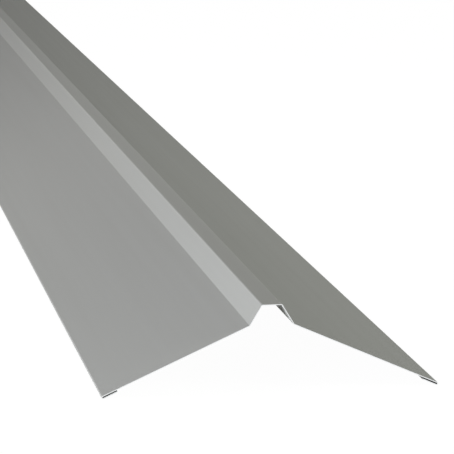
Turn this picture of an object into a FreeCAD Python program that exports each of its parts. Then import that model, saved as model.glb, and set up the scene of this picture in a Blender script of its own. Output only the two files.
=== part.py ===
"""Roof ridge cap: one strip of coated sheet steel, folded lengthwise.

A raised rib runs along the middle. A wing slopes down on each side of it, and each wing's
outer edge is folded under into an open hem. The cap stands on its two hems, rib up.

Frame: +Y along the cap, +X across it, +Z up. The origin is on the ground plane, under the
middle of the cap. Lengths are in millimetres and angles in degrees.

The painted face gives the sizes. Its corners are the sharp ones, where two flats would meet
if the bend between them had no radius.
"""

import FreeCAD
import Part
import Sketcher
import math
import os

NODE = "ridge_cap"

# Driving dimensions: alias, value, what it is.
DIMENSIONS = [
    ("cap_length", 3000.0, "length of the strip as sold"),
    ("sheet_thickness", 0.6, "steel with its coats"),
    ("bend_radius", 1.0, "inside radius of the four long bends beside the rib"),
    ("rib_top_width", 14.5, "flat on top of the rib, corner to corner"),
    ("rib_base_width", 32.0, "rib between its two foot corners"),
    ("rib_height", 14.5, "from the foot corners up to the rib's top"),
    ("wing_width", 115.0, "down the slope, from the foot corner to the outside of the hem"),
    ("wing_slope", 24.0, "angle of a wing below the horizontal"),
    ("hem_width", 12.0, "folded-under strip, from the outside of its fold to the cut edge"),
    ("hem_gap", 1.0, "clear gap between a wing and its hem"),
]

# Sizes that several places share, written from the driving ones.
HEM_RADIUS = "Sizes.hem_gap / 2 + Sizes.sheet_thickness"
OUTER_BEND_RADIUS = "Sizes.bend_radius + Sizes.sheet_thickness"

# The parts of a sketch's line or arc that a constraint can name.
START, END, CENTRE = 1, 2, 3
ORIGIN = (-1, 1)
AXIS_ACROSS = -1
AXIS_UP = -2


def make_sizes(doc):
    """The sheet of driving dimensions, each in a cell that its alias names."""
    sizes = doc.addObject("Spreadsheet::Sheet", "Sizes")
    for row, (alias, value, meaning) in enumerate(DIMENSIONS, start=1):
        sizes.set(f"A{row}", meaning)
        sizes.set(f"B{row}", str(value))
        sizes.setAlias(f"B{row}", alias)
    doc.recompute()
    return sizes


def direction(degrees):
    """Unit vector in the section's plane, turned anticlockwise from straight across."""
    angle = math.radians(degrees)
    return FreeCAD.Vector(math.cos(angle), math.sin(angle), 0)


def left_of(along):
    """Unit vector a quarter turn anticlockwise from along: the painted side of the sheet."""
    return FreeCAD.Vector(-along.y, along.x, 0)


def arc(centre, radius, first, last):
    """Anticlockwise arc about centre, from the side that first points to, to that of last."""
    up = FreeCAD.Vector(0, 0, 1)
    start = math.atan2(first.y, first.x)
    end = math.atan2(last.y, last.x)
    return Part.ArcOfCircle(Part.Circle(centre, up, radius), start, end)


class HalfSection:
    """Where the folds of the right-hand half lie, in the section's plane."""

    def __init__(self, sizes):
        """Works out the folds from the sheet of driving dimensions."""
        self.thickness = sizes.sheet_thickness
        self.bend = sizes.bend_radius
        self.hem_radius = sizes.hem_gap / 2 + sizes.sheet_thickness

        # The flats run away from the rib's middle: along its top, down its wall, down the wing.
        wall_run = (sizes.rib_base_width - sizes.rib_top_width) / 2
        wall_fall = math.degrees(math.atan2(sizes.rib_height, wall_run))
        self.top_way = direction(0)
        self.wall_way = direction(-wall_fall)
        self.wing_way = direction(-sizes.wing_slope)

        # The hem's fold stands on the ground, which sets the height of everything else.
        slope = math.radians(sizes.wing_slope)
        self.wing_reach = sizes.wing_width - self.hem_radius
        foot_height = (
            self.wing_reach * math.sin(slope) + self.hem_radius * (1 + math.cos(slope))
        )
        self.foot = FreeCAD.Vector(sizes.rib_base_width / 2, foot_height, 0)
        self.crest = FreeCAD.Vector(sizes.rib_top_width / 2, foot_height + sizes.rib_height, 0)
        self.ridge = FreeCAD.Vector(0, self.crest.y, 0)
        self.hem_reach = sizes.hem_width - self.hem_radius

        self.crest_setback = self.setback(
            self.bend + self.thickness, self.top_way, self.wall_way
        )
        self.foot_setback = self.setback(self.bend, self.wall_way, self.wing_way)

    @staticmethod
    def setback(radius, before, after):
        """How far before its sharp corner a bend of that radius on the painted face starts."""
        return radius * math.tan(before.getAngle(after) / 2)

    def face(self, depth):
        """The sheet's face at that depth below the paint, from the rib's middle to the cut edge.

        Args:
            depth: 0 for the painted face, or the sheet's thickness for the bare side.

        Returns:
            Seven pieces: rib top, crest bend, wall, foot bend, wing, hem fold and hem.
        """
        top_in = left_of(self.top_way) * depth
        wall_in = left_of(self.wall_way) * depth
        wing_in = left_of(self.wing_way) * depth

        crest_from = self.crest - self.top_way * self.crest_setback
        crest_to = self.crest + self.wall_way * self.crest_setback
        crest_centre = crest_from - left_of(self.top_way) * (self.bend + self.thickness)

        foot_from = self.foot - self.wall_way * self.foot_setback
        foot_to = self.foot + self.wing_way * self.foot_setback
        foot_centre = foot_from + left_of(self.wall_way) * self.bend

        fold_from = self.foot + self.wing_way * self.wing_reach
        fold_centre = fold_from - left_of(self.wing_way) * self.hem_radius
        fold_to = fold_centre - left_of(self.wing_way) * self.hem_radius
        cut_edge = fold_to - self.wing_way * self.hem_reach

        return [
            Part.LineSegment(self.ridge - top_in, crest_from - top_in),
            arc(
                crest_centre,
                self.bend + self.thickness - depth,
                left_of(self.wall_way),
                left_of(self.top_way),
            ),
            Part.LineSegment(crest_to - wall_in, foot_from - wall_in),
            arc(foot_centre, self.bend + depth, -left_of(self.wall_way), -left_of(self.wing_way)),
            Part.LineSegment(foot_to - wing_in, fold_from - wing_in),
            arc(
                fold_centre,
                self.hem_radius - depth,
                -left_of(self.wing_way),
                left_of(self.wing_way),
            ),
            Part.LineSegment(fold_to + wing_in, cut_edge + wing_in),
        ]


def join_face(sketch, first):
    """Makes each flat of a face run smoothly into the bend beside it.

    Args:
        sketch: the section's sketch.
        first: index of the face's first piece, its rib top.
    """
    top, crest, wall, foot, wing, fold, hem = range(first, first + 7)
    joints = [
        (top, END, crest, END),
        (crest, START, wall, START),
        (wall, END, foot, START),
        (foot, END, wing, START),
        (wing, END, fold, END),
        (fold, START, hem, START),
    ]
    for joint in joints:
        sketch.addConstraint(Sketcher.Constraint("Tangent", *joint))


def size(sketch, name, kind, where, expression):
    """Adds a named dimension to the section and ties it to the driving ones.

    Args:
        sketch: the section's sketch.
        name: what the dimension is called.
        kind: the sort of constraint, such as Radius or Distance.
        where: the pieces and points that it holds, in the sketch's order.
        expression: the size, in terms of the sheet of driving dimensions.
    """
    value = sketch.evalExpression(expression)
    if kind == "Angle":
        value = math.radians(value)
    index = sketch.addConstraint(Sketcher.Constraint(kind, *where, value))
    sketch.renameConstraint(index, name)
    unit = " * 1 deg" if kind == "Angle" else " * 1 mm"
    sketch.setExpression(f"Constraints.{name}", f"({expression}){unit}")


def draw_half_section(body, sizes):
    """The right-hand half of the folded section, closed at the rib's middle.

    Args:
        body: the body that the section belongs to.
        sizes: the sheet of driving dimensions.

    Returns:
        The sketch, fully held by the driving dimensions.
    """
    sketch = body.newObject("Sketcher::SketchObject", "HalfSection")
    across_plane = next(o for o in body.Origin.OriginFeatures if o.Role == "XZ_Plane")
    sketch.AttachmentSupport = [(across_plane, "")]
    sketch.MapMode = "FlatFace"

    section = HalfSection(sizes)
    painted = section.face(0)
    bare = section.face(section.thickness)
    cut_edge = Part.LineSegment(painted[-1].EndPoint, bare[-1].EndPoint)
    middle = Part.LineSegment(bare[0].StartPoint, painted[0].StartPoint)
    sketch.addGeometry(painted + bare + [cut_edge, middle], False)
    sketch.addGeometry([Part.Point(section.crest), Part.Point(section.foot)], True)

    top, crest_bend, wall, foot_bend, wing, fold, hem = range(7)
    bare_top, bare_crest_bend, _, bare_foot_bend, _, bare_fold, bare_hem = range(7, 14)
    edge, centre_line, crest, foot = range(14, 18)

    join_face(sketch, top)
    join_face(sketch, bare_top)
    add = sketch.addConstraint
    held = Sketcher.Constraint
    bends = [crest_bend, foot_bend, fold]
    bare_bends = [bare_crest_bend, bare_foot_bend, bare_fold]
    for bend, bare_bend in zip(bends, bare_bends):
        add(held("Coincident", bend, CENTRE, bare_bend, CENTRE))
    add(held("Coincident", hem, END, edge, START))
    add(held("Coincident", bare_hem, END, edge, END))
    add(held("Coincident", bare_top, START, centre_line, START))
    add(held("Coincident", top, START, centre_line, END))
    add(held("PointOnObject", top, START, AXIS_UP))
    add(held("Vertical", centre_line))
    add(held("Horizontal", top))
    add(held("Horizontal", bare_top))
    add(held("Parallel", wing, hem))
    add(held("Parallel", wing, bare_hem))
    add(held("Perpendicular", hem, edge))
    for corner, flats in [(crest, (top, wall)), (foot, (wall, wing))]:
        for flat in flats:
            add(held("PointOnObject", corner, START, flat))

    size(sketch, "CrestBend", "Radius", (crest_bend,), OUTER_BEND_RADIUS)
    size(sketch, "CrestBendInside", "Radius", (bare_crest_bend,), "Sizes.bend_radius")
    size(sketch, "FootBend", "Radius", (bare_foot_bend,), OUTER_BEND_RADIUS)
    size(sketch, "FootBendInside", "Radius", (foot_bend,), "Sizes.bend_radius")
    size(sketch, "HemFold", "Radius", (fold,), HEM_RADIUS)
    size(sketch, "HemFoldInside", "Radius", (bare_fold,), "Sizes.hem_gap / 2")
    size(sketch, "RibTop", "DistanceX", (*ORIGIN, crest, START), "Sizes.rib_top_width / 2")
    size(sketch, "RibBase", "DistanceX", (*ORIGIN, foot, START), "Sizes.rib_base_width / 2")
    size(sketch, "RibHeight", "DistanceY", (foot, START, crest, START), "Sizes.rib_height")
    size(sketch, "WingSlope", "Angle", (wing, START, AXIS_ACROSS, START), "Sizes.wing_slope")
    size(sketch, "Wing", "Distance", (foot, START, wing, END), f"Sizes.wing_width - ({HEM_RADIUS})")
    size(sketch, "Hem", "Distance", (hem,), f"Sizes.hem_width - ({HEM_RADIUS})")
    size(sketch, "FoldHeight", "DistanceY", (*ORIGIN, fold, CENTRE), HEM_RADIUS)
    return sketch


def fold_cap(doc, sizes):
    """The whole cap: half of its section run out to length, and mirrored across the rib's middle."""
    body = doc.addObject("PartDesign::Body", "RidgeCap")
    body.Label = NODE
    section = draw_half_section(body, sizes)
    doc.recompute()

    half = body.newObject("PartDesign::Pad", "HalfCap")
    half.Profile = section
    half.SideType = "Symmetric"
    half.setExpression("Length", "Sizes.cap_length * 1 mm")
    doc.recompute()

    whole = body.newObject("PartDesign::Mirrored", "WholeCap")
    whole.Originals = [half]
    middle_plane = next(o for o in body.Origin.OriginFeatures if o.Role == "YZ_Plane")
    whole.MirrorPlane = (middle_plane, [""])
    body.Tip = whole
    doc.recompute()
    return body, section


def check(doc, body, section):
    """Stops if anything failed to build, or the sheet isn't one sound solid."""
    failed = [o.Name for o in doc.Objects if {"Invalid", "Error"} & set(o.State)]
    if failed:
        raise RuntimeError(f"these didn't build: {failed}")
    if not section.FullyConstrained:
        raise RuntimeError("the section isn't fully held by its dimensions")
    shape = body.Shape
    if shape.isNull() or not shape.isValid() or len(shape.Solids) != 1:
        raise RuntimeError("the cap isn't one valid solid")


def main():
    """Builds the cap and writes it."""
    doc = FreeCAD.newDocument("RidgeCap")
    sizes = make_sizes(doc)
    body, section = fold_cap(doc, sizes)
    check(doc, body, section)
    os.makedirs("parts", exist_ok=True)
    body.Shape.exportStep(f"parts/{NODE}.step")
    box = body.Shape.BoundBox
    print(
        f"{NODE}: {box.XLength:.2f} x {box.YLength:.2f} x {box.ZLength:.2f} mm, "
        f"from z {box.ZMin:.3f}, {body.Shape.Volume:.0f} mm3, {len(body.Shape.Faces)} faces"
    )


main()
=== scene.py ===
"""The looks of a roof ridge cap: one strip of coated sheet steel, folded lengthwise.

A flat-topped rib runs along the middle, a wing slopes down on each side of it, and each
wing's outer edge is folded under into an open hem. The cap stands on its two hems. +Y is
along the cap, +X across it and +Z up. Lengths are in metres.
"""

import logging
import math
from collections.abc import Mapping
from dataclasses import dataclass
from enum import Enum, IntEnum

import bpy
import numpy as np
from mathutils import Euler, Matrix, Vector


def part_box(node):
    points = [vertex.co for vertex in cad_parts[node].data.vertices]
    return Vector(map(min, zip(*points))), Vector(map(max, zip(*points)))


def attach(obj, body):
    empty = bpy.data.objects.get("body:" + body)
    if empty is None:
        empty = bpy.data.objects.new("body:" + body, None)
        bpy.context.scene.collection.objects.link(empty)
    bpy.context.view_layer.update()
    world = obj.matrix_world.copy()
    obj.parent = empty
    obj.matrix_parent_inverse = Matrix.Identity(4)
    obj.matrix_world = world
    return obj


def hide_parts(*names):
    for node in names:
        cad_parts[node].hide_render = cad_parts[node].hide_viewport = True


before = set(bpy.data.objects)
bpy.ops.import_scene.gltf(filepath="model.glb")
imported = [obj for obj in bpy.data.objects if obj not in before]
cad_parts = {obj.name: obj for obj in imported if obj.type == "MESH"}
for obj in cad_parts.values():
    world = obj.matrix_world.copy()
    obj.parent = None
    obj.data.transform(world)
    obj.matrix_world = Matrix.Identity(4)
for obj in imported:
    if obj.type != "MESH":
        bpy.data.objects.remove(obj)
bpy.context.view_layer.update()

MM = 0.001
NODE = "ridge_cap"
BODY = "root"
DEVELOPED = "developed"
BEND_STRAIN = "bend_strain"
# Sockets that share a name go by number: the two colours and the result of a Mix node, the
# factor and two shaders of a Mix Shader node, and the two values of a Math node.
MIX_A, MIX_B, MIX_RESULT = 6, 7, 2
FACTOR, SHADER_A, SHADER_B = 0, 1, 2
VALUE_A, VALUE_B = 0, 1
# A cured paint film's usual index of refraction.
PAINT_IOR = 1.5
# Height of each finer layer of a roller's lines, as a share of the one before.
FINER_SHARE = 0.55
# Corners of a mesh face here.
QUAD = 4
log = logging.getLogger(NODE)


def linear(hex_colour: str) -> tuple[float, float, float, float]:
    """Turns an sRGB hex colour, such as 9b9b99, into linear red, green, blue and alpha.

    Args:
        hex_colour: six hex digits.

    Returns:
        Each channel c becomes ((c + 0.055) / 1.055) ** 2.4, or c / 12.92 near black.
    """
    channels = np.array([int(hex_colour[i : i + 2], 16) for i in (0, 2, 4)]) / 255
    bright = ((channels + 0.055) / 1.055) ** 2.4
    values = np.where(channels <= 0.04045, channels / 12.92, bright)
    return (*map(float, values), 1.0)


def add_node(
    tree: bpy.types.NodeTree,
    kind: str,
    settings: Mapping[str | int, object] | None = None,
    links: Mapping[str | int, object] | None = None,
) -> bpy.types.Node:
    """Adds one shader node.

    Args:
        tree: the tree that the node belongs to.
        kind: the node's type name.
        settings: a value for each property, or for each input by name or number.
        links: for each input, by name or number, the output socket that feeds it.

    Returns:
        The new node.
    """
    node = tree.nodes.new(kind)
    for name, value in (settings or {}).items():
        if isinstance(name, str) and hasattr(node, name):
            setattr(node, name, value)
        else:
            node.inputs[name].default_value = value
    for name, source in (links or {}).items():
        tree.links.new(source, node.inputs[name])
    return node


def blank_material(name: str) -> bpy.types.Material:
    """Makes a material whose tree has no nodes yet.

    Args:
        name: the material's name.

    Returns:
        The empty material.
    """
    material = bpy.data.materials.new(name)
    material.use_nodes = True
    material.node_tree.nodes.clear()
    return material


def roller_lines(
    tree: bpy.types.NodeTree, width: float, length: float, detail: float
) -> bpy.types.NodeSocket:
    """Adds the long thin lines that a coating roller leaves along the coil.

    They are flat noise on the developed sheet, drawn out along its length.

    Args:
        tree: the tree that the lines belong to.
        width: width of a line.
        length: length of a line.
        detail: how many finer layers the noise has.

    Returns:
        The socket of the lines' height, from 0 to 1.
    """
    sheet = add_node(tree, "ShaderNodeUVMap", {"uv_map": DEVELOPED})
    drawn = add_node(
        tree,
        "ShaderNodeMapping",
        {"Scale": (1 / width, 1 / length, 1)},
        {"Vector": sheet.outputs["UV"]},
    )
    lines = add_node(
        tree,
        "ShaderNodeTexNoise",
        {
            "noise_dimensions": "2D",
            "Scale": 1.0,
            "Detail": detail,
            "Roughness": FINER_SHARE,
        },
        {"Vector": drawn.outputs["Vector"]},
    )
    return lines.outputs["Fac"]


@dataclass(frozen=True)
class FrontCoat:
    """Coil-coated polyester paint in signal grey, rolled on and oven cured."""

    # Such paint looks matt and even, with a soft sheen at low angles, a faint orange peel
    # and streaks along the coil. A bend stretches the film and turns it a little paler.
    colour: str = "9b9b99"
    streak_colour: str = "999996"
    stretched_colour: str = "a2a2a0"
    # Strain at which the film is as pale as it gets.
    paling_strain: float = 0.25
    roughness: float = 0.75
    roughness_spread: float = 0.05
    specular: float = 0.1
    streak_width: float = 9 * MM
    streak_length: float = 700 * MM
    streak_detail: float = 3.0
    # Real orange peel is about 1.5 mm from crest to crest, drawn twice as coarse to show.
    peel_spacing: float = 3 * MM
    peel_detail: float = 1.0
    peel_height: float = 0.006 * MM

    def build(self) -> bpy.types.Material:
        """Makes the paint, patterned on the developed sheet.

        Returns:
            The material.
        """
        material = blank_material("signal_grey_polyester")
        tree = material.node_tree
        streaks = roller_lines(tree, self.streak_width, self.streak_length, self.streak_detail)
        tone = add_node(
            tree,
            "ShaderNodeMix",
            {
                "data_type": "RGBA",
                MIX_A: linear(self.colour),
                MIX_B: linear(self.streak_colour),
            },
            {"Factor": streaks},
        )
        strain = add_node(tree, "ShaderNodeAttribute", {"attribute_name": BEND_STRAIN})
        paling = add_node(
            tree,
            "ShaderNodeMapRange",
            {"From Max": self.paling_strain},
            {"Value": strain.outputs["Fac"]},
        )
        paint = add_node(
            tree,
            "ShaderNodeMix",
            {"data_type": "RGBA", MIX_B: linear(self.stretched_colour)},
            {"Factor": paling.outputs["Result"], MIX_A: tone.outputs[MIX_RESULT]},
        )
        gloss = add_node(
            tree,
            "ShaderNodeMapRange",
            {
                "To Min": self.roughness - self.roughness_spread,
                "To Max": self.roughness + self.roughness_spread,
            },
            {"Value": streaks},
        )
        sheet = add_node(tree, "ShaderNodeUVMap", {"uv_map": DEVELOPED})
        peel = add_node(
            tree,
            "ShaderNodeTexNoise",
            {
                "noise_dimensions": "2D",
                "Scale": 1 / self.peel_spacing,
                "Detail": self.peel_detail,
            },
            {"Vector": sheet.outputs["UV"]},
        )
        bump = add_node(
            tree,
            "ShaderNodeBump",
            {"Strength": 1.0, "Distance": self.peel_height},
            {"Height": peel.outputs["Fac"]},
        )
        shader = add_node(
            tree,
            "ShaderNodeBsdfPrincipled",
            {"IOR": PAINT_IOR, "Specular IOR Level": self.specular},
            {
                "Base Color": paint.outputs[MIX_RESULT],
                "Roughness": gloss.outputs["Result"],
                "Normal": bump.outputs["Normal"],
            },
        )
        add_node(tree, "ShaderNodeOutputMaterial", None, {"Surface": shader.outputs["BSDF"]})
        return material


@dataclass(frozen=True)
class BackingCoat:
    """Thin epoxy backing coat, rolled on the sheet's reverse."""

    # A pale grey with a dull, dry surface. It is thinner than the front coat, so that the
    # roller's lines show more.
    colour: str = "b4b5b1"
    thin_colour: str = "a8a9a5"
    roughness: float = 0.7
    specular: float = 0.12
    line_width: float = 4 * MM
    line_length: float = 400 * MM
    line_detail: float = 4.0
    line_height: float = 0.004 * MM

    def build(self) -> bpy.types.Material:
        """Makes the backing coat, patterned on the developed sheet.

        Returns:
            The material.
        """
        material = blank_material("epoxy_backing_coat")
        tree = material.node_tree
        lines = roller_lines(tree, self.line_width, self.line_length, self.line_detail)
        tone = add_node(
            tree,
            "ShaderNodeMix",
            {"data_type": "RGBA", MIX_A: linear(self.colour), MIX_B: linear(self.thin_colour)},
            {"Factor": lines},
        )
        bump = add_node(
            tree, "ShaderNodeBump", {"Strength": 1.0, "Distance": self.line_height}, {"Height": lines}
        )
        shader = add_node(
            tree,
            "ShaderNodeBsdfPrincipled",
            {
                "IOR": PAINT_IOR,
                "Roughness": self.roughness,
                "Specular IOR Level": self.specular,
            },
            {"Base Color": tone.outputs[MIX_RESULT], "Normal": bump.outputs["Normal"]},
        )
        add_node(tree, "ShaderNodeOutputMaterial", None, {"Surface": shader.outputs["BSDF"]})
        return material


@dataclass(frozen=True)
class ShearedSteel:
    """Galvanised steel laid bare by the shear, across the sheet's thickness."""

    # Fresh cut metal is bright, with fine dull lines where the blade tore it.
    colour: str = "f6f7f8"
    dull_colour: str = "e4e6e8"
    roughness: float = 0.42
    # Real shear lines are about 0.05 mm apart, drawn coarser to show.
    line_spacing: float = 0.6 * MM
    line_detail: float = 2.0
    line_height: float = 0.01 * MM

    def build(self) -> bpy.types.Material:
        """Makes the bare cut edge.

        The lines run across the thickness, because both faces have the same place on the
        developed sheet there.

        Returns:
            The material.
        """
        material = blank_material("sheared_galvanised_steel")
        tree = material.node_tree
        sheet = add_node(tree, "ShaderNodeUVMap", {"uv_map": DEVELOPED})
        lines = add_node(
            tree,
            "ShaderNodeTexNoise",
            {
                "noise_dimensions": "2D",
                "Scale": 1 / self.line_spacing,
                "Detail": self.line_detail,
            },
            {"Vector": sheet.outputs["UV"]},
        )
        tone = add_node(
            tree,
            "ShaderNodeMix",
            {"data_type": "RGBA", MIX_A: linear(self.colour), MIX_B: linear(self.dull_colour)},
            {"Factor": lines.outputs["Fac"]},
        )
        bump = add_node(
            tree,
            "ShaderNodeBump",
            {"Strength": 1.0, "Distance": self.line_height},
            {"Height": lines.outputs["Fac"]},
        )
        shader = add_node(
            tree,
            "ShaderNodeBsdfPrincipled",
            {"Metallic": 1.0, "Roughness": self.roughness},
            {"Base Color": tone.outputs[MIX_RESULT], "Normal": bump.outputs["Normal"]},
        )
        add_node(tree, "ShaderNodeOutputMaterial", None, {"Surface": shader.outputs["BSDF"]})
        return material


class Finish(IntEnum):
    """The sheet's finishes, in the order of its material slots."""

    FRONT_COAT = 0
    BACKING_COAT = 1
    CUT_EDGE = 2


@dataclass(frozen=True)
class Run:
    """One stretch of the folded section: a flat, or a bend that turns at an even rate."""

    # Length of the painted face, and its turn in radians, anticlockwise.
    length: float
    turn: float
    steps: int

    def shares(self, inset: float) -> np.ndarray:
        """Places the run's points, as shares of its length.

        A bend's points are evenly spaced. A flat's first and last ones stand in from its ends,
        and between those two the smooth shading stays flat.

        Args:
            inset: how far in they stand.

        Returns:
            Rising shares, of which the last is 1.
        """
        if self.turn:
            return np.linspace(0, 1, self.steps + 1)[1:]
        edge = inset / self.length
        return np.append(np.linspace(edge, 1 - edge, self.steps), 1.0)


@dataclass(frozen=True)
class Section:
    """A line of points (x, z) on the painted face, across the sheet.

    Each has its unit normal on the painted side, its developed distance from the rib's middle,
    and the strain of its paint.
    """

    points: np.ndarray
    normals: np.ndarray
    distance: np.ndarray
    strain: np.ndarray

    def mirrored(self) -> "Section":
        """Adds the mirror image on the left to a section that starts at the rib's middle.

        Returns:
            The whole section, from left to right.
        """
        flip = np.array([-1.0, 1.0])
        return Section(
            np.vstack([self.points[:0:-1] * flip, self.points]),
            np.vstack([self.normals[:0:-1] * flip, self.normals]),
            np.concatenate([-self.distance[:0:-1], self.distance]),
            np.concatenate([self.strain[:0:-1], self.strain]),
        )


def quads(first: np.ndarray, second: np.ndarray) -> np.ndarray:
    """Joins two lines of vertices, or two grids of them, by quads.

    Quad i is first[i], second[i], second[i + 1], first[i + 1].

    Args:
        first: vertex numbers, which step along the first axis.
        second: as many vertex numbers, beside them.

    Returns:
        Four vertex numbers for each quad.
    """
    return np.stack([first[:-1], second[:-1], second[1:], first[1:]], -1).reshape(-1, QUAD)


def corner_numbers(mesh: bpy.types.Mesh, name: str) -> np.ndarray:
    """Reads a whole number of every face corner of a mesh.

    Args:
        mesh: the mesh.
        name: the number's name, such as vertex_index.

    Returns:
        The numbers, in the order of the faces.
    """
    numbers = np.empty(len(mesh.loops), np.int32)
    mesh.loops.foreach_get(name, numbers)
    return numbers


@dataclass(frozen=True)
class FoldedSheet:
    """The whole cap as one folded sheet, with every bend at its true radius."""

    length: float
    thickness: float = 0.6 * MM
    # Radius inside the crest's and the foot's bends.
    bend_radius: float = 1.0 * MM
    # The painted face's widths and height, between the corners that sharp bends would give it,
    # and out to the hem's fold.
    rib_top_width: float = 14.5 * MM
    rib_base_width: float = 32.0 * MM
    rib_height: float = 14.5 * MM
    wing_width: float = 115.0 * MM
    wing_slope: float = math.radians(24)
    hem_width: float = 12.0 * MM
    hem_gap: float = 1.0 * MM
    # Quads round a bend and round the hem's fold, and points on a flat.
    bend_steps: int = 12
    hem_steps: int = 24
    flat_steps: int = 6
    # How far the outer points of a flat stand in from its ends.
    flat_inset: float = 0.2 * MM
    # Places along the length.
    stations: int = 61

    def runs(self) -> list[Run]:
        """Lays out half of the painted face, from the rib's middle to the hem's cut edge.

        A bend takes its radius times the tangent of half its turn from each flat beside it.
        The painted face is outside the crest's bend and the hem, and inside the foot's bend.

        Returns:
            The half's flats and bends, in order.
        """
        crest_radius = self.bend_radius + self.thickness
        hem_radius = self.hem_gap / 2 + self.thickness
        wall_run = (self.rib_base_width - self.rib_top_width) / 2
        wall_length = math.hypot(wall_run, self.rib_height)
        wall_fall = math.atan2(self.rib_height, wall_run)
        foot_turn = wall_fall - self.wing_slope
        crest_setback = crest_radius * math.tan(wall_fall / 2)
        foot_setback = self.bend_radius * math.tan(foot_turn / 2)
        wall_flat = wall_length - crest_setback - foot_setback
        wing_flat = self.wing_width - hem_radius - foot_setback
        return [
            Run(self.rib_top_width / 2 - crest_setback, 0.0, self.flat_steps),
            Run(crest_radius * wall_fall, -wall_fall, self.bend_steps),
            Run(wall_flat, 0.0, self.flat_steps),
            Run(self.bend_radius * foot_turn, foot_turn, self.bend_steps),
            Run(wing_flat, 0.0, self.flat_steps),
            Run(hem_radius * math.pi, -math.pi, self.hem_steps),
            Run(self.hem_width - hem_radius, 0.0, self.flat_steps),
        ]

    def half_section(self) -> Section:
        """Works out the painted face from the rib's middle to the right hem's cut edge.

        The heading is linear in the developed distance along each run. A step of length d that
        turns by a has a chord of d * sin(a/2) / (a/2) in its mean heading, and each point is
        the running sum of the chords before it. Where the face is the outside of a bend of
        radius r, in a sheet of thickness t whose middle keeps its length, the paint's strain
        is t/2 / (r - t/2).

        Returns:
            The half section, with its lowest point at height 0.
        """
        runs = self.runs()
        starts = np.cumsum([0.0] + [run.length for run in runs])
        turned = np.cumsum([0.0] + [run.turn for run in runs])
        places = [start + run.length * run.shares(self.flat_inset) for start, run in zip(starts, runs)]
        distance = np.concatenate([[0.0], *places])
        heading = np.interp(distance, starts, turned)
        turn = np.diff(heading)
        chord = np.diff(distance) * np.sinc(turn / (2 * np.pi))
        middle = heading[:-1] + turn / 2
        moves = chord[:, None] * np.stack([np.cos(middle), np.sin(middle)], 1)
        points = np.vstack([np.zeros((1, 2)), np.cumsum(moves, axis=0)])
        points[:, 1] -= points[:, 1].min()
        normals = np.stack([-np.sin(heading), np.cos(heading)], 1)
        outward_bend = np.maximum(0.0, -np.gradient(heading, distance))
        offset = outward_bend * self.thickness / 2
        return Section(points, normals, distance, offset / (1 - offset))

    def build(self) -> bpy.types.Object:
        """Makes the sheet as one closed mesh.

        A point of the painted face is the section's point (x, z) at y along the length. The
        reverse face is that point moved back by the sheet's thickness along the normal, which
        keeps every bend concentric. Strips of quads close the four cut edges.

        Returns:
            The sheet.
        """
        section = self.half_section().mirrored()
        stations = np.linspace(-self.length / 2, self.length / 2, self.stations)
        reverse = section.points - self.thickness * section.normals
        both = np.stack([section.points, reverse])[:, :, None]
        vertices = np.empty((2, len(reverse), len(stations), 3))
        vertices[..., [0, 2]] = both
        vertices[..., 1] = stations
        front, back = np.arange(vertices[..., 0].size).reshape(vertices.shape[:3])
        patches = [
            (Finish.FRONT_COAT, quads(front[:-1].T, front[1:].T)),
            (Finish.BACKING_COAT, quads(back[1:].T, back[:-1].T)),
            (Finish.CUT_EDGE, quads(back[0], front[0])),
            (Finish.CUT_EDGE, quads(front[-1], back[-1])),
            (Finish.CUT_EDGE, quads(front[:, 0], back[:, 0])),
            (Finish.CUT_EDGE, quads(back[:, -1], front[:, -1])),
        ]
        polygons = np.vstack([faces for _, faces in patches])
        mesh = bpy.data.meshes.new("ridge_cap_sheet")
        mesh.from_pydata(vertices.reshape(-1, 3).tolist(), [], polygons.tolist(), shade_flat=False)
        for finish in (FrontCoat(), BackingCoat(), ShearedSteel()):
            mesh.materials.append(finish.build())
        counts = [len(faces) for _, faces in patches]
        mesh.polygons.foreach_set("material_index", np.repeat([f for f, _ in patches], counts))
        self.crease(mesh, np.repeat(np.arange(len(patches)), counts))
        self.lay_out(mesh, section, stations)
        mesh.update()
        return bpy.data.objects.new("ridge_cap_sheet", mesh)

    @staticmethod
    def crease(mesh: bpy.types.Mesh, patch: np.ndarray) -> None:
        """Keeps the shading sharp along every edge between two patches.

        Args:
            mesh: the sheet.
            patch: the number of each face's patch.
        """
        edge = corner_numbers(mesh, "edge_index")
        lowest = np.full(len(mesh.edges), patch.max() + 1)
        highest = np.full(len(mesh.edges), -1)
        np.minimum.at(lowest, edge, np.repeat(patch, QUAD))
        np.maximum.at(highest, edge, np.repeat(patch, QUAD))
        sharp = mesh.attributes.new("sharp_edge", "BOOLEAN", "EDGE")
        sharp.data.foreach_set("value", lowest != highest)

    @staticmethod
    def lay_out(mesh: bpy.types.Mesh, section: Section, stations: np.ndarray) -> None:
        """Gives the sheet its developed UV map, in metres, and the strain of its paint.

        Args:
            mesh: the sheet.
            section: the painted face's whole section.
            stations: places along the length.
        """
        across, along = len(section.distance), len(stations)
        place = corner_numbers(mesh, "vertex_index") % (across * along)
        developed = np.stack([section.distance[place // along], stations[place % along]], 1)
        mesh.uv_layers.new(name=DEVELOPED).data.foreach_set("uv", developed.ravel())
        strain = mesh.attributes.new(BEND_STRAIN, "FLOAT", "POINT")
        strain.data.foreach_set("value", np.tile(np.repeat(section.strain, along), 2))


class Ray(Enum):
    """Kinds of ray that see the white background rather than the light that it gives."""

    CAMERA = "Is Camera Ray"
    GLOSSY = "Is Glossy Ray"
    TRANSMISSION = "Is Transmission Ray"


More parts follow.
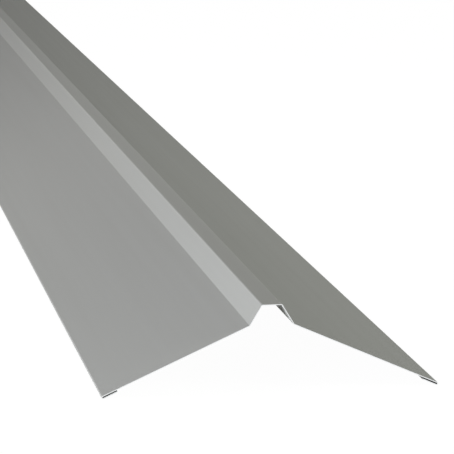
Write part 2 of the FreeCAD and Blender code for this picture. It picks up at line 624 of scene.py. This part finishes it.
def seen_as_background(tree: bpy.types.NodeTree) -> bpy.types.NodeSocket:
    """Adds a factor that is 1 for rays that see the background and 0 for those that light.

    Args:
        tree: the tree that the factor belongs to.

    Returns:
        The socket of the factor.
    """
    path = add_node(tree, "ShaderNodeLightPath")
    total = path.outputs[Ray.CAMERA.value]
    for ray in (Ray.GLOSSY, Ray.TRANSMISSION):
        larger = add_node(
            tree,
            "ShaderNodeMath",
            {"operation": "MAXIMUM"},
            {VALUE_A: total, VALUE_B: path.outputs[ray.value]},
        )
        total = larger.outputs["Value"]
    return total


@dataclass(frozen=True)
class Surroundings:
    """Even light from all sides, and plain white for what looks past the cap."""

    colour: str = "ffffff"
    # Strength for the rays that light, and for those that see the background, where 1 is white.
    lighting: float = 0.2
    backdrop: float = 1.0

    def build(self) -> bpy.types.World:
        """Puts the surroundings round the cap.

        Returns:
            The scene's world.
        """
        world = bpy.data.worlds.new("studio")
        bpy.context.scene.world = world
        world.use_nodes = True
        tree = world.node_tree
        tree.nodes.clear()
        colour = linear(self.colour)
        light = add_node(
            tree, "ShaderNodeBackground", {"Color": colour, "Strength": self.lighting}
        )
        backdrop = add_node(
            tree, "ShaderNodeBackground", {"Color": colour, "Strength": self.backdrop}
        )
        mixed = add_node(
            tree,
            "ShaderNodeMixShader",
            None,
            {
                FACTOR: seen_as_background(tree),
                SHADER_A: light.outputs["Background"],
                SHADER_B: backdrop.outputs["Background"],
            },
        )
        add_node(tree, "ShaderNodeOutputWorld", None, {"Surface": mixed.outputs["Shader"]})
        return world


@dataclass(frozen=True)
class StudioFloor:
    """Wide white board under the cap, with matt white paint."""

    # Half its side.
    reach: float = 80.0
    colour: str = "e7e7e7"
    # A little past white, so that the shadow share still leaves the open floor white.
    glow: float = 1.04
    # The share of its look that the lamps light, and that so holds the cap's faint shadow.
    shadow_share: float = 0.06

    def finish(self) -> bpy.types.Material:
        """Makes the board's paint: white to the eye, matt to the light, clear from below.

        Returns:
            The material.
        """
        material = blank_material("matt_white_board")
        tree = material.node_tree
        matt = add_node(tree, "ShaderNodeBsdfDiffuse", {"Color": linear(self.colour)})
        glow = add_node(tree, "ShaderNodeEmission", {"Strength": self.glow})
        white = add_node(
            tree,
            "ShaderNodeMixShader",
            {FACTOR: self.shadow_share},
            {SHADER_A: glow.outputs["Emission"], SHADER_B: matt.outputs["BSDF"]},
        )
        above = add_node(
            tree,
            "ShaderNodeMixShader",
            None,
            {
                FACTOR: seen_as_background(tree),
                SHADER_A: matt.outputs["BSDF"],
                SHADER_B: white.outputs["Shader"],
            },
        )
        side = add_node(tree, "ShaderNodeNewGeometry")
        clear = add_node(tree, "ShaderNodeBsdfTransparent")
        shown = add_node(
            tree,
            "ShaderNodeMixShader",
            None,
            {
                FACTOR: side.outputs["Backfacing"],
                SHADER_A: above.outputs["Shader"],
                SHADER_B: clear.outputs["BSDF"],
            },
        )
        add_node(tree, "ShaderNodeOutputMaterial", None, {"Surface": shown.outputs["Shader"]})
        return material

    def build(self) -> bpy.types.Object:
        """Lays the board level at height 0.

        Returns:
            The floor.
        """
        corners = np.array([(-1, -1, 0), (1, -1, 0), (1, 1, 0), (-1, 1, 0)]) * self.reach
        mesh = bpy.data.meshes.new("studio_floor")
        mesh.from_pydata(corners.tolist(), [], [(0, 1, 2, 3)])
        mesh.materials.append(self.finish())
        floor = bpy.data.objects.new("studio_floor", mesh)
        bpy.context.scene.collection.objects.link(floor)
        return floor


@dataclass(frozen=True)
class SoftPanel:
    """A rectangular studio panel that throws soft light.

    Its aim is the point that it faces, and its power is in watts.
    """

    name: str
    place: tuple[float, float, float]
    aim: tuple[float, float, float]
    size: tuple[float, float]
    power: float
    colour: str = "ffffff"

    def build(self) -> bpy.types.Object:
        """Hangs the panel in its place, unseen by the camera and by reflections.

        Returns:
            The light.
        """
        light = bpy.data.lights.new(self.name, "AREA")
        light.shape = "RECTANGLE"
        light.size, light.size_y = self.size
        light.energy = self.power
        light.color = linear(self.colour)[:3]
        panel = bpy.data.objects.new(self.name, light)
        panel.location = self.place
        direction = Vector(self.aim) - Vector(self.place)
        panel.rotation_euler = direction.to_track_quat("-Z", "Y").to_euler()
        panel.visible_camera = False
        panel.visible_glossy = False
        bpy.context.scene.collection.objects.link(panel)
        return panel


@dataclass(frozen=True)
class Viewpoint:
    """The camera, where the picture's perspective puts it, with no shift and all in focus."""

    place: tuple[float, float, float] = (-0.33882, -3.23367, 0.43925)
    # Degrees to the right of +Y, down from level and anticlockwise.
    turn: float = 10.03381
    tilt: float = 10.30926
    roll: float = 0.0487
    # Focal length and width of the picture, both in its pixels.
    focal_pixels: float = 2580.0
    picture_width: int = 454
    # In millimetres.
    sensor_width: float = 36.0
    # The nearest and the farthest that the camera sees.
    clip: tuple[float, float] = (0.05, 200.0)

    def build(self) -> bpy.types.Object:
        """Stands the camera in its place.

        Returns:
            The scene's camera.
        """
        data = bpy.data.cameras.new("camera")
        data.sensor_width = self.sensor_width
        data.lens = self.focal_pixels / self.picture_width * self.sensor_width
        data.clip_start, data.clip_end = self.clip
        turn, tilt, roll = map(math.radians, (self.turn, self.tilt, self.roll))
        aim = Euler((math.pi / 2 - tilt, 0, -turn)).to_matrix().to_4x4()
        camera = bpy.data.objects.new("camera", data)
        camera.matrix_world = Matrix.Translation(self.place) @ aim @ Matrix.Rotation(roll, 4, "Z")
        bpy.context.scene.collection.objects.link(camera)
        bpy.context.scene.camera = camera
        return camera


# The right wing's grey is a little warmer than the left wing's, and the near end of the left
# side a little cooler, so the panels there have faint tints.
PANELS = (
    SoftPanel("left_panel", (-3.13, -0.5, 1.91), (0.0, -0.49, 0.0), (2.39, 0.51), 48.4),
    SoftPanel("left_near_panel", (-3.07, -1.63, 1.44), (0.0, -1.27, 0.0), (1.17, 0.48), 29.5),
    SoftPanel("left_low_panel", (-1.48, -2.28, 0.06), (0.0, -1.7, 0.03), (0.55, 0.17), 27.5, "f4f9ff"),
    SoftPanel("left_small_panel", (-0.69, -0.68, 0.64), (0.0, 0.25, 0.03), (0.38, 0.27), 0.98),
    SoftPanel("right_panel", (3.72, 0.11, 1.89), (0.0, -0.5, 0.0), (2.89, 0.42), 24.6, "fbfff4"),
    SoftPanel("right_near_panel", (2.7, -2.84, 1.52), (0.0, -1.67, 0.0), (1.14, 0.31), 50.1, "fbfff4"),
)


@dataclass(frozen=True)
class Studio:
    """White floor and surroundings, soft panels and the camera."""

    surroundings: Surroundings = Surroundings()
    floor: StudioFloor = StudioFloor()
    panels: tuple[SoftPanel, ...] = PANELS
    viewpoint: Viewpoint = Viewpoint()

    def build(self) -> None:
        """Sets up everything around the cap."""
        self.surroundings.build()
        for part in (self.floor, *self.panels, self.viewpoint):
            log.info("%s", part.build().name)


def main() -> None:
    """Builds the cap and its studio, and reports each piece."""
    logging.basicConfig(level=logging.INFO, format="%(message)s")
    bpy.context.scene.view_settings.view_transform = "Standard"
    low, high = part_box(NODE)
    sheet = FoldedSheet(length=high.y - low.y).build()
    bpy.context.scene.collection.objects.link(sheet)
    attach(sheet, BODY)
    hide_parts(NODE)
    log.info("%s: %d faces", sheet.name, len(sheet.data.polygons))
    Studio().build()


if __name__ == "__main__":
    main()
